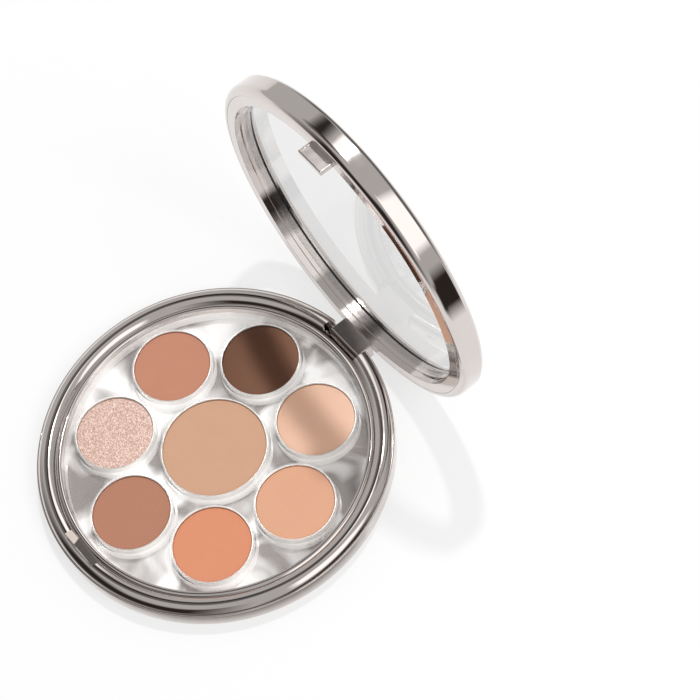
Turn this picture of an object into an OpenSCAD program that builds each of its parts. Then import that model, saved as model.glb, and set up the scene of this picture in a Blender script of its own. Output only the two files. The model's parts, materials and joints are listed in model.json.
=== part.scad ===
// Round eyeshadow palette: a clear base with eight pans, and a hinged lid with a clear window.
// Millimetres, +Z up. The origin is the middle of the base's underside, the hinge is at +Y and
// the latch at -Y. The lid is modelled closed and then turned open by open_angle.

/* [Case] */
// Outer diameter of the base ring and of the lid
body_d = 99; // [97:1:108]
// Width of both rings, from the outside to the seam that faces the middle
ring_w = 5.5; // [5.3:0.1:6]
// Radius of the base's rounded lower edge
edge_r = 1.2; // [0.8:0.1:1.4]
// Height of the lid from its inner face to its top
lid_h = 7.7; // [7.5:0.1:9]
// Space between the base's crown and the lid's inner face when the lid is closed
lid_gap = 0.4; // [0.3:0.1:0.8]
// Angle from closed to the open stop, where the lid stands in the photograph
open_angle = 92; // [88:1:96]

/* [Base] */
// Thickness of the clear floor
floor_t = 1.2; // [1:0.1:1.5]
// How far the base ring's outer wall reaches below the top of the tray
wall_drop = 0; // [-0.1:0.05:0.3]
// Width of the narrow land outside the crown
land_w = 0.5; // [0.4:0.1:1]
// Thickness of the base ring's outer wall
wall_t = 2; // [1.7:0.1:2.2]
// Thickness of the base ring's inner wall
inner_wall_t = 2.4; // [1.8:0.1:2.5]
// Rise of the bezel's crown above the seam at its foot
crown_rise = 1.2; // [0.9:0.05:1.3]
// Height of that foot above the tray
crown_foot = 0.3; // [0.2:0.05:0.4]
// How far the bezel's rim reaches inwards from the crown
rim_w = 1.6; // [1.5:0.1:1.8]
// How far that rim laps over the edge of the tray
rim_lap = 0.5; // [0.3:0.1:0.7]
// Thickness of that rim
rim_t = 0.6; // [0.5:0.1:0.7]
// How far the rim is rounded over its width
rim_round = 0.25; // [0.15:0.05:0.3]

/* [Tray] */
// Radial thickness of the tray's outer skirt
skirt_t = 1; // [0.8:0.1:1.2]
// Thickness of the tray's top plate
plate_t = 0.9; // [0.7:0.1:1.2]
// Wall thickness of a well
well_wall = 0.8; // [0.6:0.1:0.9]
// Thickness of a well's floor
well_floor = 0.8; // [0.6:0.1:1]
// How far the tray's top stands above the pans' rims
tray_proud = 0.3; // [0.2:0.1:0.4]

/* [Pans] */
// Space between the tray's skirt and the wells of the small pans
pan_margin = 1.3; // [0.8:0.1:1.6]
// Space between the wells of neighbouring small pans
well_space = 0.96; // [0.6:0.02:1.6]
// Outer diameter of the middle pan
centre_d = 29.5; // [27:0.1:29.6]
// Height of a pan
pan_h = 3.6; // [3.2:0.1:4.2]
// Thickness of a pan's metal
pan_t = 0.35; // [0.25:0.05:0.5]
// How far the powder lies below the pan's rim
powder_drop = 0.45; // [0.3:0.05:0.7]

/* [Hinge] */
// How far the hinge axis lies inside the body's outer edge
hinge_inset = 2.1; // [2:0.05:2.3]
// Height of the hinge axis above the table
hinge_z = 4.1; // [4.05:0.05:4.3]
// Width of the knuckle
knuckle_w = 12; // [10:0.5:13]
// Gap beside the knuckle
knuckle_side = 0.25; // [0.2:0.05:0.4]
// Further width of the hinge notch on its -X side
notch_spare = 1.5; // [0:0.1:1.8]
// Radius of the knuckle's rounded end
knuckle_r = 2.8; // [2.6:0.05:2.85]
// Diameter of the hinge pin
pin_d = 1.2; // [1:0.1:1.4]
// Length of the hinge pin
pin_l = 19.6; // [17:0.2:19.8]

/* [Latch] */
// Width of the catch
catch_w = 8.8; // [7:0.2:9.6]
// Thickness of the catch
catch_t = 1.6; // [1.4:0.1:1.8]
// How far the catch hangs below the lid's inner face
catch_l = 3.9; // [3.4:0.1:4]
// Offset of the catch from the middle
catch_x = 1.2; // [0:0.1:1.4]
// Gap in the pocket beside the catch
pocket_side = 0.75; // [0.5:0.05:1]
// Depth of the recess in the catch
recess_t = 0.5; // [0.3:0.05:0.6]

/* [Lid] */
// Thickness of the lid shell's side wall
shell_t = 1.4; // [1.2:0.1:1.6]
// Thickness of the liner's face plate
face_t = 1.2; // [1:0.1:1.4]
// Depth of the liner's first step, seen through the opening
step_h = 1.9; // [1.6:0.1:2.2]
// Radial width of that step
step_w = 0.5; // [0.4:0.05:0.6]
// Thickness of the window
window_t = 1; // [0.8:0.1:1.1]
// Radial thickness of the window's skirt
window_skirt_t = 1; // [0.7:0.1:1.1]
// Height of the window's skirt
window_skirt_h = 2.2; // [1.6:0.1:2.4]
// Rise of the lid's crown above its edges
lid_crown = 1.45; // [1.1:0.05:1.6]
// Radius of the lid's rounded edge beside its inner face
lid_edge_r = 2.1; // [1.7:0.1:2.2]
// Bevel between the lid's side wall and its crown
lid_bevel = 0.3; // [0.2:0.05:0.4]
// Thickness of the shell's lip over the window's flange
lip_t = 0.6; // [0.5:0.05:0.8]

/* [Fits] */
// Gap between parts that are laid or bonded into one another
seat_gap = 0.05; // [0.03:0.01:0.1]
// Radial clearance of the knuckle on its pin
pin_gap = 0.05; // [0.03:0.01:0.08]
// Radial clearance of the fixed pin in the base
press_gap = 0.01; // [0.01:0.005:0.02]
// Gap between parts that pass each other
pass_gap = 0.25; // [0.2:0.05:0.3]
// Gap between the knuckle's round end and the floor of its notch
stop_gap = 0.12; // [0.1:0.01:0.2]
// Width and depth of the visible seams between rings
seam = 0.12; // [0.08:0.02:0.16]

/* [Hidden] */
$fn = 96;
small_count = 7;               // small pans in the ring, as NODES names them

cut = 0.5;                     // how far a cutting shape runs past what it cuts
crown_bite = 0.15;             // how far a crown's section reaches into what it stands on
chrome = [0.60, 0.58, 0.58];
pan_metal = [0.80, 0.79, 0.78];
clear = [0.93, 0.95, 0.96, 0.4];

// radii
body_r = body_d / 2;
seam_r = body_r - ring_w;                  // foot of both crowns, facing the middle
crown_r = body_r - land_w;                 // seam outside the base's crown
rim_r = seam_r - rim_w;                    // inner edge of the bezel
tray_r = rim_r + rim_lap;
bore_r = tray_r + seat_gap;                // inside of the base ring
channel_in = bore_r + inner_wall_t;
channel_out = body_r - wall_t;
floor_r = (bore_r + channel_in) / 2;       // edge of the clear floor, in the inner wall's rebate

// wells: the small ones share out the ring inside the tray's skirt
ring_reach = tray_r - skirt_t - pan_margin;
share = sin(180 / small_count);
small_well_r = (ring_reach * share - well_space / 2) / (1 + share) - well_wall;
pan_circle_r = ring_reach - well_wall - small_well_r;
small_d = 2 * (small_well_r - seat_gap);
centre_well_r = centre_d / 2 + seat_gap;

// heights of the base
tray_z = floor_t;
pan_z = tray_z + well_floor;
pan_top = pan_z + pan_h;
powder_top = pan_top - powder_drop;
bezel_foot = 0.4;                          // how far the bezel reaches below the tray's top
tray_top = pan_top + tray_proud;
seat_z = tray_top - bezel_foot;            // where the bezel sits on the base ring
wall_top = tray_top - wall_drop;
crown_z = tray_top + crown_foot;
crown_top = crown_z + crown_rise;

// heights of the lid, closed
face_z = crown_top + lid_gap;
step_z = face_z + step_h;
lid_top = face_z + lid_h;
lid_edge_z = lid_top - lid_crown;          // foot of the lid's crown
flange_top = lid_edge_z - lip_t;           // the window's flange lies under the lip
edge_back = 0.2;                           // metal left behind the lid's rounded edge
foot_h = lid_edge_r + edge_back;           // height of the shell's thick foot
flange_t = 0.8;                            // thickness of the window's flange
window_proud = 0.15;                       // how far the window stands above the crown's foot
window_top = lid_edge_z + window_proud;
skirt_z = window_top - window_t - window_skirt_h;

// radii of the lid
foot_r = body_r - lid_edge_r - edge_back;  // inside of the shell's foot
liner_r = foot_r - seat_gap;
step_r = seam_r - step_w;
liner_wall_t = 1.2;                        // thickness of the liner's inner wall at its foot
liner_wall_r = seam_r + liner_wall_t;
flange_lap = 0.6;                          // how far the window's flange reaches past that wall
flange_r = liner_wall_r + flange_lap;
window_r = step_r - seat_gap;              // outside of the window's skirt

// hinge and latch
hinge_y = body_r - hinge_inset;
flat_trim = 0.15;
knuckle_flat = knuckle_r - flat_trim;      // axis to the flat that faces up when open
heel_trim = 0.05;
heel = knuckle_r - heel_trim;              // axis to the heel that meets the base at the stop
knuckle_bevel = 0.25;                      // bevels beside the knuckle's flat
pin_cover = 2;                             // solid metal past the ends of the pin
notch_y = hinge_y - knuckle_r - 1.5 * pass_gap;
notch_z = hinge_z - knuckle_r - stop_gap;
notch_corner = 1;                          // radius of the notch's inner corner on the -X side
catch_back = 0.1;                          // how far the catch stands back from the seam
catch_y = seam_r + catch_back;             // inner face of the catch
catch_bevel = 0.2;                         // bevels at the tip of the catch
catch_side_bevel = 0.15;
pocket_y = catch_y - 2 * pass_gap;         // inner wall of the pocket
pocket_w = catch_w + 2 * catch_x + 2 * pocket_side;
striker_t = 0.6;
pocket_out = catch_y + catch_t + pass_gap + striker_t;
pocket_z = face_z - catch_l - 2 * pass_gap;
pocket_cover = 1.5;                        // solid metal past the ends of the pocket
recess_edge = 0.75;                        // frame round the recess in the catch
peg_h = 0.8;                               // pegs that hold knuckle and catch in the liner
peg_t = 1;
peg_share = 0.6;                           // width of a peg as a share of its part's width
peg_back = 0.3;                            // how far the catch's peg stands back from its faces
peg_y = (seam_r + liner_r) / 2 - peg_t / 2;  // inner side of the knuckle's peg

// ---- shapes used by several parts ----

// Cuts a square corner at x, y to a quarter round; dx, dy point from the corner into the shape.
module round_corner(x, y, r, dx, dy)
    translate([x, y]) scale([dx, dy]) difference() {
        translate([-cut, -cut]) square(r + cut);
        translate([r, r]) circle(r);
    }

// A circle segment between radii r1 and r2 that stands rise above height z.
module crown(r1, r2, z, rise) {
    half = (r2 - r1) / 2;
    big_r = (half * half + rise * rise) / (2 * rise);
    intersection() {
        translate([(r1 + r2) / 2, z + rise - big_r]) circle(big_r);
        translate([r1, z - crown_bite]) square([r2 - r1, crown_bite + rise + cut]);
    }
}

// Turns its children about the hinge from closed to the open stop.
module opened()
    translate([0, hinge_y, hinge_z]) rotate([-open_angle, 0, 0])
        translate([0, -hinge_y, -hinge_z]) children();

// A block centred on X from y1 to y2 and z1 to z2.
module block(w, y1, y2, z1, z2)
    translate([-w / 2, y1, z1]) cube([w, y2 - y1, z2 - z1]);

// A straight 45 degree bevel of size c along X through y, z.
module bevel_x(w, y, z, c)
    translate([0, y, z]) rotate([45, 0, 0]) cube([w, c * sqrt(2), c * sqrt(2)], center = true);

// A straight 45 degree bevel of size c along Z through x, y, from z1 to z2.
module bevel_z(x, y, z1, z2, c)
    translate([x, y, (z1 + z2) / 2]) rotate([0, 0, 45])
        cube([c * sqrt(2), c * sqrt(2), z2 - z1], center = true);

function small_angle(i) = 90 + (i - 0.5) * 360 / small_count;

module at_small(i) rotate([0, 0, small_angle(i)]) translate([pan_circle_r, 0, 0]) children();

// ---- base ----

module base_ring() {
    // half angles of the solid stretches at the hinge and at the latch
    hinge_half = asin((pin_l / 2 + pin_cover) / channel_out);
    latch_half = asin((pocket_w / 2 + pocket_cover) / channel_in);
    color(chrome) difference() {
        rotate_extrude() base_ring_section();
        // hollow channels on both sides, between hinge and latch
        for (side = [0, 1])
            rotate([0, 0, side == 0 ? 90 + hinge_half : 270 + latch_half])
                rotate_extrude(angle = 180 - hinge_half - latch_half)
                    translate([channel_in, floor_t])
                        square([channel_out - channel_in, seat_z - floor_t + cut]);
        hinge_notch();
        pin_bore(press_gap);
        latch_pocket();
    }
}

module base_ring_section() difference() {
    translate([bore_r, 0]) square([body_r - bore_r, wall_top]);
    // rebate for the clear floor
    translate([0, -cut]) square([floor_r + seat_gap, floor_t + cut]);
    // seat for the bezel, with the seam groove outside it
    translate([0, seat_z]) square([crown_r, cut + wall_top - seat_z]);
    round_corner(body_r, 0, edge_r, -1, 1);
    round_corner(body_r, wall_top, land_w - seam, -1, -1);
}

// The notch that the knuckle turns in, wider on its -X side, with a bevelled inner lip
module hinge_notch() {
    x1 = -knuckle_w / 2 - knuckle_side - notch_spare;
    x2 = knuckle_w / 2 + knuckle_side;
    y2 = body_r + cut;
    translate([0, 0, notch_z]) linear_extrude(crown_top + cut - notch_z) {
        translate([x1 + notch_corner, notch_y]) square([x2 - x1 - notch_corner, y2 - notch_y]);
        translate([x1, notch_y + notch_corner]) square([x2 - x1, y2 - notch_y - notch_corner]);
        translate([x1 + notch_corner, notch_y + notch_corner]) circle(notch_corner);
    }
}

module pin_bore(gap)
    translate([0, hinge_y, hinge_z]) rotate([0, 90, 0])
        cylinder(h = body_r, r = pin_d / 2 + gap, center = true);

module latch_pocket()
    block(pocket_w, -pocket_out, -pocket_y, pocket_z, crown_top + cut);

module base_bezel()
    color(chrome) difference() {
        rotate_extrude() {
            difference() {
                translate([rim_r, seat_z]) square([crown_r - seam - rim_r, crown_z - seat_z]);
                translate([0, seat_z - cut]) square([tray_r + seat_gap, tray_top - seat_z + cut]);
                translate([seam_r - seam, crown_z - seam]) square([seam, seam + cut]);
            }
            translate([rim_r, tray_top]) square([rim_w - seam, rim_t - rim_round]);
            crown(rim_r, seam_r - seam, tray_top + rim_t - rim_round, rim_round);
            crown(seam_r, crown_r - seam, crown_z, crown_rise);
        }
        hinge_notch();
        latch_pocket();
    }

module base_floor()
    color(clear) cylinder(h = floor_t, r = floor_r);

module tray() {
    color(clear) difference() {
        union() {
            // top plate
            translate([0, 0, tray_top - plate_t]) cylinder(h = plate_t, r = tray_r);
            // skirt
            difference() {
                translate([0, 0, tray_z]) cylinder(h = tray_top - tray_z, r = tray_r);
                translate([0, 0, tray_z - cut])
                    cylinder(h = tray_top - tray_z, r = tray_r - skirt_t);
            }
            // outsides of the wells
            for (i = [1:small_count]) at_small(i) well_outside(small_well_r);
            well_outside(centre_well_r);
        }
        for (i = [1:small_count]) at_small(i) well_inside(small_well_r);
        well_inside(centre_well_r);
    }
}

// Reaches into the top plate but not through it, so that the plate's top stays one face
module well_outside(r)
    translate([0, 0, tray_z]) cylinder(h = tray_top - plate_t / 2 - tray_z, r = r + well_wall);

module well_inside(r) {
    bevel = 0.25;
    translate([0, 0, pan_z]) cylinder(h = tray_top - pan_z + cut, r = r);
    translate([0, 0, tray_top - bevel]) cylinder(h = 2 * bevel, r1 = r, r2 = r + 2 * bevel);
}

// ---- pans and powders ----

module pan(d) color(pan_metal) difference() {
    translate([0, 0, pan_z]) cylinder(h = pan_h, r = d / 2);
    translate([0, 0, pan_z + pan_t]) cylinder(h = pan_h, r = d / 2 - pan_t);
}

module powder(d) {
    r = d / 2 - pan_t;
    dome = 0.12;
    translate([0, 0, pan_z + pan_t]) cylinder(h = powder_top - pan_z - pan_t - dome, r = r);
    translate([0, 0, powder_top - dome]) cylinder(h = dome, r1 = r, r2 = r - 2 * dome);
}

powder_colors = [[0.41, 0.29, 0.25], [0.77, 0.55, 0.46], [0.85, 0.73, 0.68], [0.72, 0.51, 0.42],
                 [0.87, 0.59, 0.47], [0.87, 0.66, 0.55], [0.82, 0.66, 0.56]];
centre_color = [0.81, 0.64, 0.53];

module small_pan(i) at_small(i) pan(small_d);
module small_powder(i) color(powder_colors[i - 1]) at_small(i) powder(small_d);

// ---- latch and hinge ----

// Spring plate on the pocket's outer wall, with a round nose opposite the catch's recess
module striker() color(chrome) {
    y_out = pocket_out - seat_gap;
    y_in = pocket_out - striker_t;
    nose_z = face_z - catch_l / 2;
    nose_r = 0.4;
    block(pocket_w - 2 * seat_gap, -y_out, -y_in, pocket_z, crown_z);
    translate([catch_x, -(y_in - pass_gap + nose_r + seat_gap), nose_z]) rotate([0, 90, 0])
        cylinder(h = catch_w - 4 * recess_edge, r = nose_r, center = true);
}

module hinge_pin()
    color(chrome) translate([0, hinge_y, hinge_z]) rotate([0, 90, 0])
        cylinder(h = pin_l, r = pin_d / 2, center = true);

// ---- lid ----

module lid_shell() color(chrome) opened() rotate_extrude() {
    // side wall with its rounded foot, and the lip over the window
    difference() {
        union() {
            translate([body_r - shell_t, face_z]) square([shell_t, lid_edge_z - face_z]);
            translate([foot_r, face_z]) square([body_r - foot_r, foot_h]);
            translate([seam_r, flange_top]) square([body_r - seam_r, lip_t]);
        }
        round_corner(body_r, face_z, lid_edge_r, -1, 1);
        // bevel below the crown, steeper than 45 degrees
        translate([body_r, lid_edge_z]) polygon([[0, -lid_bevel], [cut, -lid_bevel],
                                                 [cut, cut], [-lid_bevel / 2, cut],
                                                 [-lid_bevel / 2, 0]]);
    }
    crown(seam_r, body_r - lid_bevel / 2, lid_edge_z, lid_crown);
}

module lid_liner() color(chrome) opened() difference() {
    rotate_extrude() lid_liner_section();
    liner_pegs(seat_gap);
}

module lid_liner_section() {
    // face plate
    translate([seam_r, face_z]) square([liner_r - seam_r, face_t]);
    // inner wall, with the step that is seen through the opening
    translate([seam_r, face_z]) square([liner_wall_r - seam_r, step_h]);
    translate([step_r, step_z])
        square([liner_wall_r - step_r, flange_top - flange_t - step_z]);
}

// The two pegs, with a gap round them
module liner_pegs(gap) {
    knuckle_peg(gap);
    translate([catch_x, 0, 0]) catch_peg(gap);
}

module knuckle_peg(gap)
    block(knuckle_w * peg_share + 2 * gap, peg_y - gap, peg_y + peg_t + gap, face_z - cut,
          face_z + peg_h + gap);

module catch_peg(gap)
    block(catch_w * peg_share + 2 * gap, -catch_y - catch_t + peg_back - gap,
          -catch_y - peg_back + gap, face_z - cut, face_z + peg_h + gap);

module lid_window() color(clear) opened() rotate_extrude() {
    bevel = 0.2;
    plate_r = seam_r - seam;
    difference() {
        translate([0, window_top - window_t]) square([plate_r, window_t]);
        translate([plate_r, window_top]) rotate(45) square(bevel * sqrt(2), center = true);
    }
    translate([window_r - window_skirt_t, skirt_z])
        square([window_skirt_t, flange_top - skirt_z]);
    translate([window_r - window_skirt_t, flange_top - flange_t])
        square([flange_r - window_r + window_skirt_t, flange_t]);
}

module lid_knuckle() color(chrome) opened() difference() {
    union() {
        translate([0, hinge_y, hinge_z]) rotate([90, 0, 90])
            linear_extrude(knuckle_w, center = true) knuckle_section();
        knuckle_peg(0);
    }
    pin_bore(pin_gap);
    // bevels round the flat that faces up when the lid is open
    for (side = [-1, 1])
        bevel_z(side * knuckle_w / 2, hinge_y - knuckle_flat, 0, face_z, knuckle_bevel);
}

// Section in Y and Z about the hinge axis: a round end below, flat towards the middle and a heel.
module knuckle_section() {
    rise = face_z - hinge_z;
    difference() {
        circle(knuckle_r);
        translate([-2 * knuckle_r, -2 * knuckle_r]) square([2 * knuckle_r - knuckle_flat,
                                                             4 * knuckle_r]);
    }
    translate([-knuckle_flat, 0]) square([knuckle_flat + heel, rise]);
}

module lid_catch() color(chrome) opened() translate([catch_x, 0, 0]) difference() {
    tip = face_z - catch_l;
    union() {
        block(catch_w, -catch_y - catch_t, -catch_y, tip, face_z);
        catch_peg(0);
    }
    // recess in the outer face, for the striker's nose
    block(catch_w - 2 * recess_edge, -catch_y - catch_t - cut, -catch_y - catch_t + recess_t,
          tip + recess_edge, face_z - recess_edge);
    bevel_x(catch_w + cut, -catch_y - catch_t, tip, catch_bevel);
    bevel_x(catch_w + cut, -catch_y, tip, catch_bevel);
    for (side = [-1, 1])
        bevel_z(side * catch_w / 2, -catch_y - catch_t, tip - cut, face_z, catch_side_bevel);
}

base_ring();
base_bezel();
base_floor();
tray();
pan(centre_d);  // pan_centre
small_pan(1);  // pan_1
small_pan(2);  // pan_2
small_pan(3);  // pan_3
small_pan(4);  // pan_4
small_pan(5);  // pan_5
small_pan(6);  // pan_6
small_pan(7);  // pan_7
color(centre_color) powder(centre_d);  // powder_centre
small_powder(1);  // powder_1
small_powder(2);  // powder_2
small_powder(3);  // powder_3
small_powder(4);  // powder_4
small_powder(5);  // powder_5
small_powder(6);  // powder_6
small_powder(7);  // powder_7
striker();
hinge_pin();
lid_shell();
lid_liner();
lid_window();
lid_knuckle();
lid_catch();
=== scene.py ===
"""Looks of the round eyeshadow palette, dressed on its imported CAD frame. Metres, hinge at +Y, latch at -Y."""
import json
import math

import bmesh
import bpy
from mathutils import Matrix, Vector


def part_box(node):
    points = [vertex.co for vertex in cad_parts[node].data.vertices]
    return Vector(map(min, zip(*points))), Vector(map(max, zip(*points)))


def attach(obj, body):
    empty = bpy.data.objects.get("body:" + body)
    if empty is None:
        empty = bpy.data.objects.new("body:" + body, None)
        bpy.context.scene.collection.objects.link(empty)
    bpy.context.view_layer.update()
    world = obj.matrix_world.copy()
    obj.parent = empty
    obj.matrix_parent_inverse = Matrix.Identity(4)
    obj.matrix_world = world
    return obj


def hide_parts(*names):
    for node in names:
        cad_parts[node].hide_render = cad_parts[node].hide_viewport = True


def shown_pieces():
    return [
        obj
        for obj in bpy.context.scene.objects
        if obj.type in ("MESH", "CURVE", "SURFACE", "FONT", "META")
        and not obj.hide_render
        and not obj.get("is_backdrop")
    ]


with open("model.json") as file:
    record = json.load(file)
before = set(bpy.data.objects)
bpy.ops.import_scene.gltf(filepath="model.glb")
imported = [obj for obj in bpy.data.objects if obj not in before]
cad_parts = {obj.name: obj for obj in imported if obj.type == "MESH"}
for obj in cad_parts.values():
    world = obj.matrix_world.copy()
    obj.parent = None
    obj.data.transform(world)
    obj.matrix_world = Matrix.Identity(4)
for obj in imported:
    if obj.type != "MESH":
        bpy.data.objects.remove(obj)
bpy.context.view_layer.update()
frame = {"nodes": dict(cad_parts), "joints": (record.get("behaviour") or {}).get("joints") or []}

MM = 0.001
NODES = frame["nodes"]

# ---- the camera, settled by the image points ----

IMAGE_W, IMAGE_H = 700, 700
CAMERA_LENS = 120.0        # mm, on the sensor width below
SENSOR_WIDTH = 36.0
CAMERA_AIM = Vector((0.00961, 0.0428, 0.02))
CAMERA_DISTANCE = 0.6267
CAMERA_AZIMUTH = -24.29    # degrees from +X, seen from above
CAMERA_ELEVATION = 61.29
CAMERA_ROLL = -16.64
SHIFT_X, SHIFT_Y = 0.0, 0.0
CLIP = (0.01, 10)          # nearest and farthest that it sees

# Points in the photograph: where each thing shows
EDGE_POINTS = {"left": 38, "right": 481.5, "top": 74.7, "bottom": 625}
FEATURE_POINTS = {
    "powder_1": (259.4, 359.6),
    "powder_2": (171.7, 365.9),
    "powder_3": (114.1, 431.5),
    "powder_4": (131.4, 513.8),
    "powder_5": (211.8, 546.0),
    "powder_6": (295.1, 502.4),
    "powder_7": (315.6, 417.3),
    "powder_centre": (213.8, 448.1),
    "lid_knuckle": (353.2, 336.2),
    "lid_catch": (316.3, 155.6),
}


def make_camera():
    """The camera looks at CAMERA_AIM from its azimuth, elevation and distance, and is then rolled."""
    azimuth, elevation = math.radians(CAMERA_AZIMUTH), math.radians(CAMERA_ELEVATION)
    back = Vector((
        math.cos(elevation) * math.cos(azimuth),
        math.cos(elevation) * math.sin(azimuth),
        math.sin(elevation),
    ))
    right = Vector((0, 0, 1)).cross(back).normalized()
    turn = Matrix((right, back.cross(right), back)).transposed()
    data = bpy.data.cameras.new("camera")
    data.lens = CAMERA_LENS
    data.sensor_width = SENSOR_WIDTH
    data.sensor_fit = "AUTO"
    data.shift_x, data.shift_y = SHIFT_X, SHIFT_Y
    data.clip_start, data.clip_end = CLIP
    camera = bpy.data.objects.new("camera", data)
    roll = Matrix.Rotation(math.radians(CAMERA_ROLL), 3, "Z")
    camera.matrix_world = Matrix.Translation(CAMERA_AIM + back * CAMERA_DISTANCE) @ (turn @ roll).to_4x4()
    bpy.context.scene.collection.objects.link(camera)
    bpy.context.scene.camera = camera
    bpy.context.view_layer.update()
    return camera


camera = make_camera()


def picture_point(point):
    """Where a point in the row frame shows, in pixels of the photograph's frame."""
    local = camera.matrix_world.inverted() @ Vector(point)
    long_side = max(IMAGE_W, IMAGE_H)
    scale = long_side * CAMERA_LENS / SENSOR_WIDTH / -local.z
    x = IMAGE_W / 2 + local.x * scale - SHIFT_X * long_side
    y = IMAGE_H / 2 - local.y * scale + SHIFT_Y * long_side
    return x, y


# ---- shader helpers ----

class Shader:
    """A node material with a Principled shader, and short ways to add and link nodes."""

    def __init__(self, name):
        self.material = bpy.data.materials.new(name)
        self.material.use_nodes = True
        self.tree = self.material.node_tree
        self.tree.nodes.clear()
        self.output = self.add("ShaderNodeOutputMaterial")
        self.surface = self.add("ShaderNodeBsdfPrincipled")
        self.link(self.surface.outputs[0], self.output.inputs["Surface"])

    def add(self, kind, **settings):
        node = self.tree.nodes.new(kind)
        for name, value in settings.items():
            if name in node.inputs:
                node.inputs[name].default_value = value
            else:
                setattr(node, name.lower(), value)
        return node

    def link(self, source, target):
        self.tree.links.new(source, target)

    def set(self, **values):
        """Sets the Principled shader's sockets; an underscore stands for a space."""
        for name, value in values.items():
            self.surface.inputs[name.replace("_", " ")].default_value = value

    def coordinates(self, scale=(1, 1, 1), turn=0.0):
        """The row frame in millimetres, scaled and turned about Z."""
        source = self.add("ShaderNodeTexCoord")
        mapping = self.add("ShaderNodeMapping")
        mapping.inputs["Scale"].default_value = [s / MM for s in scale]
        mapping.inputs["Rotation"].default_value = (0, 0, math.radians(turn))
        self.link(source.outputs["Object"], mapping.inputs["Vector"])
        return mapping.outputs[0]

    def noise(self, scale, vector=None, detail=3.0, rough=0.5):
        node = self.add("ShaderNodeTexNoise", Scale=scale, Detail=detail, Roughness=rough)
        self.link(vector or self.coordinates(), node.inputs["Vector"])
        return node.outputs["Fac"]

    def between(self, factor, low, high, start=0.0, end=1.0):
        """Maps factor from start..end to low..high."""
        node = self.add("ShaderNodeMapRange")
        for name, value in (("From Min", start), ("From Max", end), ("To Min", low), ("To Max", high)):
            node.inputs[name].default_value = value
        self.link(factor, node.inputs["Value"])
        return node.outputs["Result"]

    def math(self, operation, first, second=0.5):
        node = self.add("ShaderNodeMath")
        node.operation = operation
        for socket, value in zip(node.inputs, (first, second)):
            if isinstance(value, (int, float)):
                socket.default_value = value
            else:
                self.link(value, socket)
        return node.outputs[0]

    def mix_colour(self, factor, first, second):
        node = self.add("ShaderNodeMix")
        node.data_type = "RGBA"
        for socket, value in zip((node.inputs[0], node.inputs[6], node.inputs[7]), (factor, first, second)):
            if isinstance(value, bpy.types.NodeSocket):
                self.link(value, socket)
            else:
                socket.default_value = value
        return node.outputs[2]

    def bump(self, height, strength, distance):
        node = self.add("ShaderNodeBump", Strength=strength, Distance=distance)
        self.link(height, node.inputs["Height"])
        self.link(node.outputs[0], self.surface.inputs["Normal"])
        return node


def srgb(red, green, blue, alpha=1.0):
    """A colour given in the 0 to 255 values of a picture, as linear values."""
    def linear(value):
        value /= 255
        return value / 12.92 if value <= 0.04045 else ((value + 0.055) / 1.055) ** 2.4
    return (linear(red), linear(green), linear(blue), alpha)


def shade(colour, factor):
    return (colour[0] * factor, colour[1] * factor, colour[2] * factor, 1.0)


# ---- materials ----

def plated_metal(name, dullness=0.0):
    """Plated metal, polished by hand: the surface rolls a little, and fine smears catch the light. Dullness
    is added to its roughness."""
    shader = Shader(name)
    shader.set(Metallic=1.0)
    cloud = shader.noise(0.09, detail=4)
    tone = srgb(219, 211, 207)
    shader.link(shader.mix_colour(cloud, shade(tone, 0.94), shade(tone, 1.02)),
                shader.surface.inputs["Base Color"])
    smear = shader.noise(0.35, detail=6)
    gloss = shader.between(smear, 0.035 + dullness, 0.085 + dullness, start=0.3, end=0.75)
    shader.link(gloss, shader.surface.inputs["Roughness"])
    roll = shader.noise(0.035, detail=1)
    shader.bump(roll, 1.0, 0.32 * MM)
    return shader.material


def pan_metal():
    """Thin bright pressed sheet with a fine grain."""
    shader = Shader("pan_metal")
    shader.set(Metallic=1.0)
    grain = shader.noise(2.5, detail=5)
    shader.link(shader.mix_colour(grain, srgb(226, 223, 220), srgb(244, 242, 240)),
                shader.surface.inputs["Base Color"])
    shader.link(shader.between(grain, 0.3, 0.42), shader.surface.inputs["Roughness"])
    shader.bump(grain, 0.04, 0.01 * MM)
    return shader.material


def steel(name, dark, light, roughness):
    """Drawn steel, with fine lines along X."""
    shader = Shader(name)
    shader.set(Metallic=1.0)
    lines = shader.noise(1.0, shader.coordinates(scale=(0.2, 6, 6)), detail=4)
    shader.link(shader.mix_colour(lines, dark, light), shader.surface.inputs["Base Color"])
    shader.link(shader.between(lines, roughness, roughness + 0.15), shader.surface.inputs["Roughness"])
    shader.bump(lines, 0.1, 0.02 * MM)
    return shader.material


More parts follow.
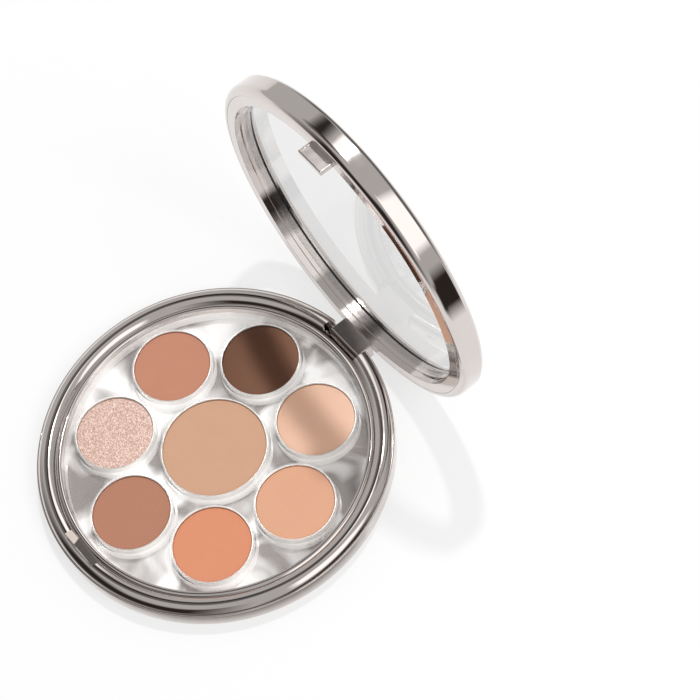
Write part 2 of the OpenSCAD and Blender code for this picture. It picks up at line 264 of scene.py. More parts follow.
def clear_plastic(name, tint, gloss=0.03, milk=0.05, walls=0.0):
    """Clear moulded plastic. What lies behind shows straight through it, with a glossy skin that mirrors
    more towards its edges, and a little milkiness from moulding and handling. Where walls is given, its
    upright walls carry more of this milky white, painted light that stands in for the light that refraction
    carries along them, and they are lit from both sides. Light goes through it to what lies below, and it is
    only its front faces that mirror, so its layers stay clear."""
    shader = Shader(name)
    flow = shader.noise(0.12, detail=2)
    shader.link(shader.mix_colour(flow, srgb(240, 239, 238), srgb(252, 252, 252)),
                shader.surface.inputs["Base Color"])
    haze = shader.noise(0.6, detail=5)
    shader.link(shader.between(haze, gloss, gloss + 0.04, start=0.35, end=0.8),
                shader.surface.inputs["Roughness"])
    shader.bump(shader.noise(0.09, detail=2), 0.6, 0.12 * MM)
    through = shader.add("ShaderNodeBsdfTransparent")
    through.inputs["Color"].default_value = tint
    skin = shader.add("ShaderNodeBsdfGlossy")
    skin.inputs["Roughness"].default_value = gloss
    fresnel = shader.add("ShaderNodeFresnel", IOR=1.4)
    side = shader.add("ShaderNodeNewGeometry")
    ray = shader.add("ShaderNodeLightPath")
    unseen = shader.math("MAXIMUM", side.outputs["Backfacing"], ray.outputs["Is Shadow Ray"])
    front = shader.math("SUBTRACT", 1.0, unseen)
    clear = shader.add("ShaderNodeMixShader")
    shader.link(shader.math("MULTIPLY", fresnel.outputs[0], front), clear.inputs[0])
    shader.link(through.outputs[0], clear.inputs[1])
    shader.link(skin.outputs[0], clear.inputs[2])
    mix = shader.add("ShaderNodeMixShader")
    cloud = shader.between(haze, milk * 0.5, milk * 1.5)
    body = shader.surface.outputs[0]
    if walls:
        # Painted light: the upright walls get extra white, standing in for the light that refraction carries
        # along them.
        parts = shader.add("ShaderNodeSeparateXYZ")
        shader.link(side.outputs["True Normal"], parts.inputs[0])
        upright = shader.math("SUBTRACT", 1.0, shader.math("ABSOLUTE", parts.outputs["Z"]))
        cloud = shader.math("ADD", cloud, shader.math("MULTIPLY", upright, walls))
        lit = shader.add("ShaderNodeBsdfTranslucent", Color=(1, 1, 1, 1))
        both = shader.add("ShaderNodeAddShader")
        shader.link(lit.outputs[0], both.inputs[0])
        shader.link(body, both.inputs[1])
        body = both.outputs[0]
    shader.link(shader.math("MULTIPLY", cloud, front), mix.inputs[0])
    shader.link(clear.outputs[0], mix.inputs[1])
    shader.link(body, mix.inputs[2])
    shader.link(mix.outputs[0], shader.output.inputs["Surface"])
    return shader.material


SWIRL_BEND = 26


def floor_plastic_painted_light_and_shade():
    """The clear floor, as it shows through the tray, with painted light and shade: pools of painted white light
    and soft grey swirls of painted shadow, which stand in for the light and the pans' shadows on the ground
    below, seen through the clear plastic. The swirls come from a noise that a wider noise bends by up to
    SWIRL_BEND mm."""
    shader = Shader("floor_plastic_painted_light_and_shade")
    bend = shader.add("ShaderNodeTexNoise", Scale=0.045, Detail=1.0)
    shader.link(shader.coordinates(), bend.inputs["Vector"])
    shift = shader.add("ShaderNodeVectorMath")
    shift.operation = "MULTIPLY_ADD"
    shift.inputs[1].default_value = (SWIRL_BEND, SWIRL_BEND, 0)
    shader.link(bend.outputs["Color"], shift.inputs[0])
    shader.link(shader.coordinates(), shift.inputs[2])
    shade_and_light_swirl = shader.noise(0.085, shift.outputs[0], detail=2.5, rough=0.45)
    # Painted shade and painted light: the swirl runs the colour from grey shadow to near-white light.
    tone = shader.mix_colour(shader.between(shade_and_light_swirl, 0.0, 1.0, start=0.43, end=0.57),
                             srgb(150, 143, 140), srgb(252, 251, 250))
    shader.link(tone, shader.surface.inputs["Base Color"])
    haze = shader.noise(0.5, detail=4)
    shader.link(shader.between(haze, 0.06, 0.16), shader.surface.inputs["Roughness"])
    shader.bump(shade_and_light_swirl, 0.6, 0.5 * MM)
    return shader.material


def powder(name, colour, roughness=0.85, specular=0.3, ior=1.5, tint=(1, 1, 1, 1), weave=None,
           sparkle=False):
    """Pressed powder: fine grain, soft clouds of tone and, where the photograph shows one, a weave, given as
    its period in mm, its turn in degrees and its strength, or coarse flakes of uneven tone and gloss, the
    darker ones tinted with a painted shade and the glossy ones with a painted glint."""
    shader = Shader(name)
    shader.set(Roughness=roughness, Specular_IOR_Level=specular, IOR=ior, Specular_Tint=tint)
    grain = shader.noise(9.0, detail=4, rough=0.65)
    cloud = shader.noise(0.18, detail=3)
    tone = shader.mix_colour(grain, shade(colour, 0.90), shade(colour, 1.08))
    clouded = shader.between(cloud, 0.0, 0.35, start=0.35, end=0.7)
    tone = shader.mix_colour(clouded, tone, shade(colour, 1.06))
    height = grain
    if weave:
        period, turn, depth = weave
        parts = shader.add("ShaderNodeSeparateXYZ")
        shader.link(shader.coordinates(turn=turn), parts.inputs[0])
        waves = [
            shader.math("SINE", shader.math("MULTIPLY", parts.outputs[axis], 2 * math.pi / period))
            for axis in ("X", "Y")
        ]
        woven = shader.between(shader.math("MULTIPLY", *waves), 0.0, 1.0, -1.0, 1.0)
        threads = shader.mix_colour(woven, shade(colour, 1.3), shade(colour, 0.66))
        tone = shader.mix_colour(depth, tone, threads)
        height = shader.math("ADD", shader.math("MULTIPLY", woven, 4 * depth), grain)
    if sparkle:
        flakes = shader.add("ShaderNodeTexVoronoi", Scale=4.4)
        shader.link(shader.coordinates(), flakes.inputs["Vector"])
        parts = shader.add("ShaderNodeSeparateXYZ")
        shader.link(flakes.outputs["Color"], parts.inputs[0])
        shine = shader.between(parts.outputs["X"], 0.0, 1.0, start=0.45, end=0.75)
        dim = shader.between(parts.outputs["Y"], 0.0, 0.5, start=0.6, end=0.9)
        # Painted shade on the darker flakes and a painted glint on the glossy ones, whose metal and gloss are
        # real.
        tone = shader.mix_colour(dim, tone, FLAKE_SHADE)
        tone = shader.mix_colour(shader.math("MULTIPLY", shine, 0.75), tone, FLAKE_PAINTED_GLINT)
        shader.link(shader.math("MULTIPLY", shine, 0.25), shader.surface.inputs["Metallic"])
        shader.link(shader.between(shine, roughness, 0.35), shader.surface.inputs["Roughness"])
        height = shader.math("ADD", shader.math("MULTIPLY", flakes.outputs["Distance"], 2.0), height)
    shader.link(tone, shader.surface.inputs["Base Color"])
    shader.bump(height, 0.35, 0.06 * MM)
    return shader.material


# Flake colours: a painted shade and a painted glint.
FLAKE_SHADE, FLAKE_PAINTED_GLINT = srgb(186, 138, 118), srgb(252, 232, 222)
POWDERS = {
    "1": dict(colour=srgb(56, 33, 26), roughness=0.36, specular=0.8, ior=1.8,
              tint=srgb(255, 190, 155)),
    "2": dict(colour=srgb(197, 137, 112)),
    "3": dict(colour=srgb(206, 166, 150), roughness=0.6, sparkle=True),
    "4": dict(colour=srgb(185, 130, 106), weave=(0.8, 35, 0.85)),
    "5": dict(colour=srgb(222, 147, 113), weave=(0.8, 45, 0.4)),
    "6": dict(colour=srgb(225, 170, 139), weave=(0.8, 10, 0.25)),
    "7": dict(colour=srgb(223, 175, 147), roughness=0.36, specular=0.9, ior=1.8,
              tint=srgb(255, 230, 212)),
    "centre": dict(colour=srgb(208, 163, 134), roughness=0.8),
}


def dress(node, material):
    """Gives a CAD node its material."""
    mesh = NODES[node].data
    mesh.materials.clear()
    mesh.materials.append(material)


METAL = plated_metal("polished_metal")
SATIN_METAL = plated_metal("satin_metal", dullness=0.17)
CLEAR = clear_plastic("clear_plastic", srgb(253, 253, 253), milk=0.05, walls=0.5)
WINDOW = clear_plastic("clear_window", srgb(248, 248, 248), gloss=0.01, milk=0.02)
PAN = pan_metal()

dress("tray", CLEAR)
dress("base_floor", floor_plastic_painted_light_and_shade())
dress("striker", steel("spring_steel", srgb(150, 148, 146), srgb(196, 194, 192), 0.2))
dress("hinge_pin", steel("pin_steel", srgb(130, 128, 126), srgb(180, 178, 176), 0.25))


# ---- turned pieces: the rings, window, pans and powders again, finer and with polished edges ----
# The sections are in mm, as (radius, height) in the frame of the body that they ride on.

HINGE = frame["joints"][0]
SEGMENTS = 360                    # steps round a large ring
SMALL_SEGMENTS = 144              # and round a pan
CHANNEL_SEGMENTS = 120            # and along one of the ring's inner channels
CROWN_STEPS = 28                  # edges in a crown's arch
ARC_STEP = 9                      # degrees of an arc that one edge of a section may span
CREASE = math.radians(20)         # a sharper bend than this stays an edge
EDGE = 0.08                       # mm, rounding that polishing leaves on a sharp edge
BEYOND = 1.0                      # mm, how far a cutting shape runs past what it cuts
HAIR = 0.02                       # mm, between clear and metal faces that would lie in one plane
ON_AXIS = 1e-6                    # mm, a radius below this is the axis
FITTING_EDGE = 0.14 * MM          # rounding of the knuckle's and the catch's edges
FITTING_SHARP = math.radians(35)  # a sharper edge than this is rounded
FITTING_FLAT = math.radians(0.5)  # faces closer than this are one face
FITTING_MERGE = 0.5e-6            # metres, vertices closer than this are one vertex


def ring_frame(body):
    """(middle, turn) of the axis that this body's round pieces share: the lid's is turned to its stop."""
    if body == "base":
        return Vector(), Matrix.Identity(3)
    pivot = Vector(HINGE["pos_m"])
    turn = Matrix.Rotation(-math.radians(HINGE["range_deg"][1]), 3, Vector(HINGE["axis"]))
    return pivot + turn @ -pivot, turn


def reach(node, body):
    """(least radius, greatest radius, lowest, highest) of a CAD node round its body's axis, in mm."""
    middle, turn = ring_frame(body)
    local = [turn.transposed() @ (vertex.co - middle) / MM for vertex in NODES[node].data.vertices]
    radii = [math.hypot(v.x, v.y) for v in local]
    return min(radii), max(radii), min(v.z for v in local), max(v.z for v in local)


def arc(middle, radius, start, end):
    """Points of an arc from angle start to angle end, in degrees."""
    steps = max(3, math.ceil(abs(end - start) / ARC_STEP))
    angles = [math.radians(start + (end - start) * k / steps) for k in range(steps + 1)]
    return [(middle[0] + radius * math.cos(a), middle[1] + radius * math.sin(a)) for a in angles]


def crown(inner, outer, foot, rise):
    """A low arch from the outer radius over to the inner one, standing rise above its foot."""
    half = (outer - inner) / 2
    radius = (half * half + rise * rise) / (2 * rise)
    spread = math.degrees(math.asin(half / radius))
    middle = ((inner + outer) / 2, foot + rise - radius)
    angles = [math.radians(90 - spread + 2 * spread * k / CROWN_STEPS) for k in range(CROWN_STEPS + 1)]
    return [(middle[0] + radius * math.cos(a), middle[1] + radius * math.sin(a)) for a in angles]


def rounded(corners):
    """A section from corners (radius, height), rounded where a third number gives the rounding."""
    path = []
    for k, corner in enumerate(corners):
        if len(corner) == 2:
            path.append(corner)
            continue
        here, size = Vector(corner[:2]), corner[2]
        before = (Vector(corners[k - 1][:2]) - here).normalized()
        after = (Vector(corners[(k + 1) % len(corners)][:2]) - here).normalized()
        half = before.angle(after) / 2
        middle = here + (before + after).normalized() * (size / math.sin(half))
        first = here + before * (size / math.tan(half)) - middle
        last = here + after * (size / math.tan(half)) - middle
        start = math.degrees(math.atan2(first.y, first.x))
        sweep = (math.degrees(math.atan2(last.y, last.x)) - start + 180) % 360 - 180
        path += arc(middle, size, start, start + sweep)
    return path


def turned(path, body, centre=(0, 0), segments=SEGMENTS, start=0.0, sweep=360.0):
    """The mesh of a section turned round an upright axis through centre, in mm in its body's frame. A point
    on the axis becomes a pole. Less than a full turn is capped at both ends."""
    whole = sweep == 360
    columns = segments if whole else segments + 1
    work = bmesh.new()
    rows = []
    for radius, height in path:
        if radius < ON_AXIS:
            rows.append([work.verts.new((centre[0], centre[1], height))] * columns)
            continue
        row = []
        for k in range(columns):
            angle = math.radians(start + sweep * k / segments)
            row.append(work.verts.new((centre[0] + radius * math.cos(angle),
                                       centre[1] + radius * math.sin(angle), height)))
        rows.append(row)
    on_axis = path[0][0] < ON_AXIS
    for r in range(len(rows) - 1 if on_axis else len(rows)):
        low, high = rows[r], rows[(r + 1) % len(rows)]
        for k in range(segments):
            n = (k + 1) % columns
            corners = [low[k], low[n], high[n], high[k]]
            corners = [v for at, v in enumerate(corners) if v not in corners[:at]]
            work.faces.new(corners)
    if not whole:
        work.faces.new([row[0] for row in rows])
        work.faces.new([row[-1] for row in rows])
    bmesh.ops.recalc_face_normals(work, faces=work.faces)
    return placed(work, body)


def prism(outline, low, high, body):
    """The mesh of an outline in X and Y, drawn up from low to high, in mm."""
    work = bmesh.new()
    rows = [[work.verts.new((x, y, z)) for x, y in outline] for z in (low, high)]
    work.faces.new(rows[0])
    work.faces.new(rows[1])
    for k in range(len(outline)):
        n = (k + 1) % len(outline)
        work.faces.new([rows[0][k], rows[0][n], rows[1][n], rows[1][k]])
    bmesh.ops.recalc_face_normals(work, faces=work.faces)
    return placed(work, body)


def placed(work, body):
    """Turns a bmesh in mm in a body's frame into a mesh in the row frame."""
    middle, turn = ring_frame(body)
    work.transform(Matrix.Translation(middle) @ turn.to_4x4() @ Matrix.Scale(MM, 4))
    mesh = bpy.data.meshes.new("turned")
    work.to_mesh(mesh)
    work.free()
    return mesh


def block(width, y1, y2, z1, z2, x=0.0):
    """The outline and heights of a block for prism, x being the middle of its width."""
    half = width / 2
    return [(x - half, y1), (x + half, y1), (x + half, y2), (x - half, y2)], z1, z2


def with_modifiers(obj):
    """The mesh of obj with its modifiers applied."""
    graph = bpy.context.evaluated_depsgraph_get()
    mesh = bpy.data.meshes.new_from_object(obj.evaluated_get(graph), preserve_all_data_layers=True,
                                           depsgraph=graph)
    obj.modifiers.clear()
    return mesh


def polished(name, mesh, node, body, material, cutters=()):
    """The piece that stands for a CAD node: cut by the cutters, smooth but for its creases, with the normals
    of its larger faces carried into the roundings beside them."""
    obj = bpy.data.objects.new(name, mesh)
    bpy.context.scene.collection.objects.link(obj)
    tools = []
    for cutter in cutters:
        tool = bpy.data.objects.new("cutter", cutter)
        bpy.context.scene.collection.objects.link(tool)
        tools.append(tool)
        cut = obj.modifiers.new("cut", "BOOLEAN")
        cut.operation, cut.solver, cut.object = "DIFFERENCE", "EXACT", tool
    if tools:
        obj.data = with_modifiers(obj)
        for tool in tools:
            bpy.data.objects.remove(tool)
    obj.data.polygons.foreach_set("use_smooth", [True] * len(obj.data.polygons))
    obj.data.set_sharp_from_angle(angle=CREASE)
    weighted = obj.modifiers.new("weighted", "WEIGHTED_NORMAL")
    weighted.keep_sharp = True
    obj.data = with_modifiers(obj)
    obj.data.name = name
    obj.data.materials.clear()
    obj.data.materials.append(material)
    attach(obj, body)
    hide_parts(node)
    return obj


def softened(node):
    """A copy of a CAD node's mesh with its sharp edges rounded over, as polishing leaves them."""
    work = bmesh.new()
    work.from_mesh(NODES[node].data)
    bmesh.ops.remove_doubles(work, verts=work.verts, dist=FITTING_MERGE)
    bmesh.ops.dissolve_limit(work, angle_limit=FITTING_FLAT, verts=work.verts, edges=work.edges)
    sharp = [edge for edge in work.edges if edge.is_manifold and edge.calc_face_angle() > FITTING_SHARP]
    bmesh.ops.bevel(work, geom=sharp, offset=FITTING_EDGE, segments=3, profile=0.5, affect="EDGES",
                    clamp_overlap=True)
    mesh = bpy.data.meshes.new(node)
    work.to_mesh(mesh)
    work.free()
    return mesh


# What the sections take from the CAD nodes, in mm
BORE_R, BODY_R, _, WALL_TOP = reach("base_ring", "base")
RIM_R, CROWN_OUT, SEAT_Z, _ = reach("base_bezel", "base")
_, TRAY_R, _, TRAY_TOP = reach("tray", "base")
_, FLOOR_R, _, FLOOR_T = reach("base_floor", "base")
STEP_R, LINER_R, FACE_Z, LINER_TOP = reach("lid_liner", "lid")
_, _, _, LID_TOP = reach("lid_shell", "lid")
_, FLANGE_R, SKIRT_Z, WINDOW_TOP = reach("lid_window", "lid")

# and what they repeat from the part's source, in mm: a size changed there has to be changed here too
SEAM, SEAT_GAP = 0.12, 0.05
RING_W = 5.5
SEAM_R = BODY_R - RING_W
EDGE_R = 1.2
LAND_W = 0.5
CROWN_FOOT, CROWN_RISE = 0.3, 1.2
RIM_T, RIM_ROUND = 0.6, 0.25
WALL_T, INNER_WALL_T = 2.0, 2.4
HINGE_Y, HINGE_Z = HINGE["pos_m"][1] / MM, HINGE["pos_m"][2] / MM
NOTCH_X, NOTCH_Y, NOTCH_Z, NOTCH_CORNER = (-7.75, 6.25), 44.225, 1.18, 1.0
BORE_D, BORE_L = 1.22, 49.5
PIN_END, POCKET_END = 11.8, 7.85      # half lengths of the solid stretches at hinge and latch
POCKET = block(12.7, -46.55, -43.6, 3.4, 10)
LID_EDGE_R, LID_BEVEL, LID_CROWN, LIP_T = 2.1, 0.3, 1.45, 0.6
SHELL_T, FOOT_BACK = 1.4, 0.2
LINER_WALL_R, FACE_T, STEP_H = SEAM_R + 1.2, 1.2, 1.9
PEG_H = 0.85
PEG_SLOTS = (block(7.3, 45.025, 46.125, FACE_Z - BEYOND, FACE_Z + PEG_H),
             block(5.38, -45.45, -44.35, FACE_Z - BEYOND, FACE_Z + PEG_H, x=1.2))
WINDOW_T, SKIRT_T, FLANGE_T, WINDOW_BEVEL = 1.0, 1.0, 0.8, 0.2
PAN_T = 0.35                          # the pan's sheet
# The pans' and powders' own softness, which only scene.py has
PAN_RIM = PAN_T * 0.45                # rounding of the rim
SHOULDER_DROP, SHOULDER_R, SHOULDER_AT = 0.03, 0.22, 0.8   # drop, rounding, and where the top turns flat


def hinge_notch():
    """What the hinge notch takes out of the base's rings, with one rounded corner."""
    x1, x2 = NOTCH_X
    corner = arc((x1 + NOTCH_CORNER, NOTCH_Y + NOTCH_CORNER), NOTCH_CORNER, 180, 270)
    return prism(corner + [(x2, NOTCH_Y), (x2, BODY_R + BEYOND), (x1, BODY_R + BEYOND)],
                 NOTCH_Z, WALL_TOP + CROWN_RISE + 2 * BEYOND, "base")


def pin_bore():
    """The hinge pin's bore, along X: a section in Y and Z drawn out sideways."""
    mesh = prism(arc((0, 0), BORE_D / 2, 0, 360)[:-1], -BORE_L / 2, BORE_L / 2, "base")
    mesh.transform(Matrix.Translation((0, HINGE_Y * MM, HINGE_Z * MM)) @ Matrix.Rotation(math.pi / 2, 4, "Y"))
    return mesh


def ring_channels():
    """The two hollows inside the base ring's wall, which leave it solid at the hinge and the latch."""
    inner, outer = BORE_R + INNER_WALL_T, BODY_R - WALL_T
    hinge_half = math.degrees(math.asin(PIN_END / outer))
    latch_half = math.degrees(math.asin(POCKET_END / inner))
    section = [(inner, FLOOR_T), (outer, FLOOR_T), (outer, SEAT_Z + BEYOND), (inner, SEAT_Z + BEYOND)]
    sweep = 180 - hinge_half - latch_half
    return [turned(section, "base", segments=CHANNEL_SEGMENTS, start=start, sweep=sweep)
            for start in (90 + hinge_half, 270 + latch_half)]


def ring_section():
    crown_r = BODY_R - LAND_W
    return rounded([(FLOOR_R + SEAT_GAP, 0), (BODY_R, 0, EDGE_R), (BODY_R, WALL_TOP, LAND_W - SEAM),
                    (crown_r, WALL_TOP, EDGE / 2), (crown_r, SEAT_Z), (BORE_R, SEAT_Z), (BORE_R, FLOOR_T),
                    (FLOOR_R + SEAT_GAP, FLOOR_T)])


def bezel_section():
    crown_z = TRAY_TOP + CROWN_FOOT
    rim_foot = TRAY_TOP + RIM_T - RIM_ROUND
    return [(RIM_R, TRAY_TOP), (TRAY_R + SEAT_GAP, TRAY_TOP),
            (TRAY_R + SEAT_GAP, SEAT_Z), (CROWN_OUT, SEAT_Z),
            *crown(SEAM_R, CROWN_OUT, crown_z, CROWN_RISE),
            (SEAM_R, crown_z - SEAM), (SEAM_R - SEAM, crown_z - SEAM),
            *crown(RIM_R, SEAM_R - SEAM, rim_foot, RIM_ROUND)]


def shell_section():
    edge_z = LID_TOP - LID_CROWN
    inside, foot_r = BODY_R - SHELL_T, BODY_R - LID_EDGE_R - FOOT_BACK
    bevel = (BODY_R, edge_z - LID_BEVEL, EDGE)
    return rounded([(foot_r, FACE_Z), (BODY_R, FACE_Z, LID_EDGE_R), bevel,
                    *crown(SEAM_R, BODY_R - LID_BEVEL / 2, edge_z, LID_CROWN),
                    (SEAM_R, edge_z - LIP_T), (inside, edge_z - LIP_T),
                    (inside, FACE_Z + LID_EDGE_R + FOOT_BACK), (foot_r, FACE_Z + LID_EDGE_R + FOOT_BACK)])


def liner_section():
    return rounded([(SEAM_R, FACE_Z, EDGE), (LINER_R, FACE_Z, EDGE), (LINER_R, FACE_Z + FACE_T),
                    (LINER_WALL_R, FACE_Z + FACE_T), (LINER_WALL_R, LINER_TOP), (STEP_R, LINER_TOP),
                    (STEP_R, FACE_Z + STEP_H, EDGE), (SEAM_R, FACE_Z + STEP_H)])


def window_section():
    """The window's plate, skirt and flange. Its flange stands a hair off the liner, so that no two faces
    lie in one plane."""
    flange_low, flange_top = LINER_TOP + HAIR, LINER_TOP + FLANGE_T
    plate_r, skirt_in = SEAM_R - SEAM, STEP_R - SEAT_GAP - SKIRT_T
    skirt_out, underside = skirt_in + SKIRT_T, WINDOW_TOP - WINDOW_T
    return rounded([(0, underside), (skirt_in, underside, EDGE), (skirt_in, SKIRT_Z, EDGE),
                    (skirt_out, SKIRT_Z, EDGE), (skirt_out, flange_low), (FLANGE_R, flange_low),
                    (FLANGE_R, flange_top), (plate_r, flange_top), (plate_r, WINDOW_TOP - WINDOW_BEVEL),
                    (plate_r - WINDOW_BEVEL, WINDOW_TOP), (0, WINDOW_TOP)])


def pan_section(outer, low, high):
    """A pan drawn from thin sheet, with a smooth rim."""
    inner, bottom = outer - PAN_T, low + PAN_T
    return rounded([(0, low), (outer, low, PAN_T), (outer, high, PAN_RIM), (inner, high, PAN_RIM),
                    (inner, bottom, PAN_T / 2), (0, bottom)])


def powder_section(outer, low, high):
    """A pressed powder: its top is flat but for a soft shoulder that the press leaves at its edge."""
    return rounded([(0, low), (outer, low), (outer, high - SHOULDER_DROP, SHOULDER_R),
                    (outer * SHOULDER_AT, high), (0, high)])


METAL_RINGS = (
    ("base_ring", "base", ring_section(),
     [hinge_notch(), pin_bore(), prism(*POCKET, "base"), *ring_channels()]),
    ("base_bezel", "base", bezel_section(), [hinge_notch(), prism(*POCKET, "base")]),
    ("lid_shell", "lid", shell_section(), []),
    ("lid_liner", "lid", liner_section(), [prism(*slot, "lid") for slot in PEG_SLOTS]),
)
for node, body, section, cutters in METAL_RINGS:
    ring = polished(f"{node}_polished", turned(section, body), node, body, METAL, cutters)
for node, material in (("lid_knuckle", METAL), ("lid_catch", SATIN_METAL)):
    fitting = polished(f"{node}_polished", softened(node), node, "lid", material)
window = polished("lid_window_clear", turned(window_section(), "lid"), "lid_window", "lid", WINDOW)

for name, look in POWDERS.items():
    for kind, section_of, material in (("pan", pan_section, PAN),
                                       ("powder", powder_section, powder(f"powder_{name}", **look))):
        low, high = (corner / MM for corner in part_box(f"{kind}_{name}"))
        centre = ((low.x + high.x) / 2, (low.y + high.y) / 2)
        outer = (high.x - low.x + high.y - low.y) / 4
        mesh = turned(section_of(outer, low.z, high.z), "base", centre, SMALL_SEGMENTS)
        done = polished(f"{kind}_{name}_pressed", mesh, f"{kind}_{name}", "base", material)


# ---- floor and light ----

FLOOR_GLOW = 0.65
FLOOR_SIZE = 6                    # metres
WORLD_LIGHT = 0.55
SWAYS = 5                         # times that a card sways in a full turn


def floor_material():
    """Pale ground. FLOOR_GLOW of what is seen is its own white, so the shadows on it stay soft and pale."""
    shader = Shader("ground")
    shader.set(Base_Color=(0.93, 0.93, 0.93, 1), Roughness=0.9, Specular_IOR_Level=0.1)
    light_path = shader.add("ShaderNodeLightPath")
    seen = shader.math("MAXIMUM", light_path.outputs["Is Camera Ray"], light_path.outputs["Is Glossy Ray"])
    seen = shader.math("MAXIMUM", seen, light_path.outputs["Is Transmission Ray"])
    white = shader.add("ShaderNodeEmission", Strength=1.0)
    mix = shader.add("ShaderNodeMixShader")
    shader.link(shader.math("MULTIPLY", seen, FLOOR_GLOW), mix.inputs[0])
    shader.link(shader.surface.outputs[0], mix.inputs[1])
    shader.link(white.outputs[0], mix.inputs[2])
    shader.link(mix.outputs[0], shader.output.inputs["Surface"])
    return shader.material


def plane(name, centre, toward, size_x, size_y, material):
    """A rectangle at centre whose front faces the point toward."""
    mesh = bpy.data.meshes.new(name)
    corners = [(-size_x / 2, -size_y / 2, 0), (size_x / 2, -size_y / 2, 0),
               (size_x / 2, size_y / 2, 0), (-size_x / 2, size_y / 2, 0)]
    mesh.from_pydata(corners, [], [(0, 1, 2, 3)])
    mesh.materials.append(material)
    obj = bpy.data.objects.new(name, mesh)
    obj.location = centre
    obj.rotation_euler = (Vector(toward) - Vector(centre)).to_track_quat("Z", "Y").to_euler()
    bpy.context.scene.collection.objects.link(obj)
    obj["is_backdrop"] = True


plane("floor", (0, 0, 0), (0, 0, 1), FLOOR_SIZE, FLOOR_SIZE, floor_material())


def glow(name, colour, strength, soft):
    """A card's own light, fading out at its borders over a share soft of the way to its middle."""
    shader = Shader(name)
    light = shader.add("ShaderNodeEmission", Strength=strength)
    light.inputs["Color"].default_value = colour
    edge = shader.add("ShaderNodeAttribute", Attribute_Name="edge")
    clear = shader.add("ShaderNodeBsdfTransparent")
    mix = shader.add("ShaderNodeMixShader")
    fade = shader.between(edge.outputs["Fac"], 0.0, 1.0, start=0.0, end=soft)
    shader.link(fade, mix.inputs[0])
    shader.link(clear.outputs[0], mix.inputs[1])
    shader.link(light.outputs[0], mix.inputs[2])
    shader.link(mix.outputs[0], shader.output.inputs["Surface"])
    return shader.material


def direction(azimuth, elevation):
    """The unit vector at an azimuth from +X and an elevation, in degrees."""
    a, e = math.radians(azimuth), math.radians(elevation)
    return Vector((math.cos(e) * math.cos(a), math.cos(e) * math.sin(a), math.sin(e)))


def card(name, azimuths, elevations, material, distances=(0.9, 0.9), sway=0.0, steps=24):
    """A curved studio card round the object, from azimuth to azimuth and elevation to elevation in degrees,
    at one distance below and another above, and swaying up and down by sway degrees. Only the reflections
    see it. Its edge attribute runs from 0 at its border to 1 in its middle."""
    mesh = bpy.data.meshes.new(name)
    points, borders = [], []
    for row in range(steps + 1):
        for column in range(steps + 1):
            across, along = column / steps, row / steps
            azimuth = azimuths[0] + (azimuths[1] - azimuths[0]) * across
            elevation = elevations[0] + (elevations[1] - elevations[0]) * along
            elevation += sway * along * math.sin(math.radians(azimuth) * SWAYS)
            distance = distances[0] + (distances[1] - distances[0]) * along
            points.append(direction(azimuth, elevation) * distance)
            borders.append(2 * min(across, 1 - across, along, 1 - along))
    wide = steps + 1
    faces = [(r * wide + c, r * wide + c + 1, (r + 1) * wide + c + 1, (r + 1) * wide + c)
             for r in range(steps) for c in range(steps)]
    mesh.from_pydata(points, [], faces)
    edge = mesh.attributes.new("edge", "FLOAT", "POINT")
    edge.data.foreach_set("value", borders)
    mesh.materials.append(material)
    obj = bpy.data.objects.new(name, mesh)
    bpy.context.scene.collection.objects.link(obj)
    obj.visible_camera = False
    obj.visible_diffuse = False
    obj.visible_transmission = False
    obj.visible_shadow = False
    obj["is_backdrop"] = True


def softbox(name, azimuth, elevation, distance, width, height, watts, mirrored=False):
    """A soft light that faces the object from a distance in metres. Unless it is mirrored, the cards stand
    for it in reflections."""
    data = bpy.data.lights.new(name, "AREA")
    data.shape = "RECTANGLE"
    data.size, data.size_y = width, height
    data.energy = watts
    light = bpy.data.objects.new(name, data)
    light.location = direction(azimuth, elevation) * distance
    light.rotation_euler = light.location.to_track_quat("Z", "Y").to_euler()
    light.visible_glossy = mirrored
    bpy.context.scene.collection.objects.link(light)


DARK = glow("card_dark", (1.0, 0.80, 0.72, 1), 0.03, soft=0.5)
DUSK = glow("card_dusk", (1.0, 0.95, 0.93, 1), 0.16, soft=0.5)
GREY = glow("card_grey", (1.0, 0.96, 0.95, 1), 0.34, soft=0.2)
BRIGHT = glow("card_bright", (1, 1, 0.99, 1), 1.5, soft=0.25)

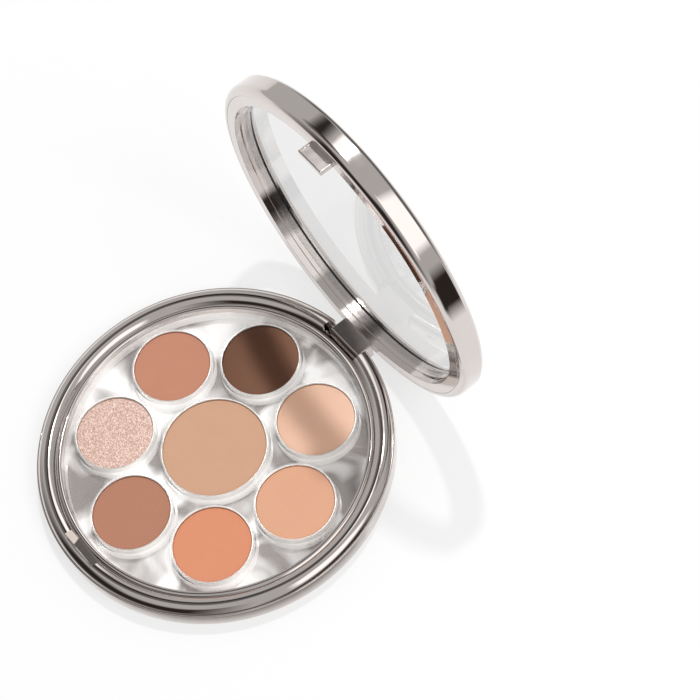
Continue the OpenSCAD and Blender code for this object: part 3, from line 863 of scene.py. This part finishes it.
# The key light throws the shadow of the lid's ring across powders 1 and 7, as in the photograph
softbox("key", 120, 66, distance=1.2, width=0.06, height=0.06, watts=5, mirrored=True)
softbox("front", 15, 48, distance=1.3, width=0.6, height=0.5, watts=5)
card("bright_front", (-12, 48), (31, 69), BRIGHT, distances=(0.85, 0.85), sway=5)
card("bright_back", (110, 136), (30, 79), BRIGHT, distances=(0.85, 0.85))
card("dark_side", (-155, -28), (0.5, 58), DARK, distances=(0.24, 0.75), sway=5)
card("dark_front", (-28, 50), (0.5, 23), DARK, distances=(0.24, 0.45), sway=4)
card("dusk_top", (140, 205), (44, 80), DUSK, distances=(1.0, 1.0))
card("dark_slit", (137, 168), (44, 72), DARK, distances=(0.8, 0.8))
card("dusk_back", (50, 150), (0.5, 26), DUSK, distances=(0.22, 0.5), sway=4)
# A grey card lying on the floor just round the base, seen only in reflections: painted shade, standing in for
# the floor's shade beside the object as the base's outer wall mirrors it.
card("painted_floor_shade", (-85, 22), (0.3, 0.3), GREY, distances=(0.05, 0.066))

world = bpy.data.worlds.new("studio")
world.use_nodes = True
world.node_tree.nodes["Background"].inputs["Color"].default_value = (1, 1, 1, 1)
world.node_tree.nodes["Background"].inputs["Strength"].default_value = WORLD_LIGHT
bpy.context.scene.world = world
bpy.context.scene.view_settings.view_transform = "Standard"


# ---- how far each thing shows from its point ----

def shown_vertices(obj):
    """A mesh's vertices in the row frame."""
    return [obj.matrix_world @ vertex.co for vertex in obj.data.vertices]


def top_middle(node, depth=0.4 * MM):
    """The middle of a node's topmost face at rest."""
    vertices = shown_vertices(NODES[node])
    top = max(v.z for v in vertices)
    face = [v for v in vertices if v.z > top - depth]
    return [(min(v[k] for v in face) + max(v[k] for v in face)) / 2 for k in range(3)]


def write_points():
    """Works out how far each named thing shows from its point, in pixels."""
    seen = [picture_point(v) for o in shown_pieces() if o.type == "MESH" for v in shown_vertices(o)]
    xs, ys = [p[0] for p in seen], [p[1] for p in seen]
    report = {
        "left": min(xs) - EDGE_POINTS["left"],
        "right": max(xs) - EDGE_POINTS["right"],
        "top": min(ys) - EDGE_POINTS["top"],
        "bottom": max(ys) - EDGE_POINTS["bottom"],
    }
    report = {name: round(off, 2) for name, off in report.items()}
    for name, (x, y) in FEATURE_POINTS.items():
        shown = picture_point(top_middle(name))
        report[name] = [round(shown[0] - x, 2), round(shown[1] - y, 2)]


write_points()
